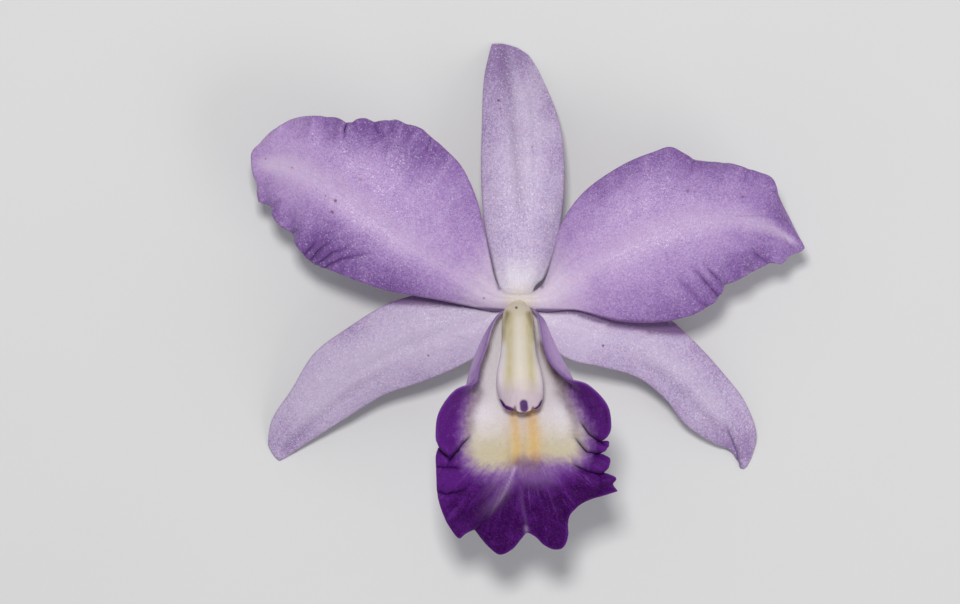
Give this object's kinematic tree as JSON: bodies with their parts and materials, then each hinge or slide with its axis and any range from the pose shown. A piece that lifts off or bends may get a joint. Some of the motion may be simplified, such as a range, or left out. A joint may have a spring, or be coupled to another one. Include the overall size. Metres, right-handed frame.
{
  "type": "cattleya orchid bloom",
  "caption": "Picked orchid bloom with waved lilac petals, pale sepals and a purple frilled lip, lying face up; set dressing or a flower for a vase or spray.",
  "frame": {"origin": "centre of the bloom's bounding box, on the surface that it lies on", "axes": "+Z out of the flower's face, away from the surface; +Y towards the dorsal sepal; +X to the right of a viewer who looks at the face"},
  "size_m": [0.1162, 0.1071, 0.0391],
  "materials": {
    "sepal": "satin",
    "petal": "satin",
    "lip": "satin",
    "column": "satin",
    "anther": "satin",
    "pollen": "satin",
    "stalk": "satin"
  },
  "bodies": {
    "root": {"dorsal_sepal": "sepal", "left_lateral_sepal": "sepal", "right_lateral_sepal": "sepal", "left_petal": "petal", "right_petal": "petal", "lip": "lip", "column": "column", "anther_cap": "anther", "pollinia": "pollen", "pedicel": "stalk"}
  },
  "joints": []
}
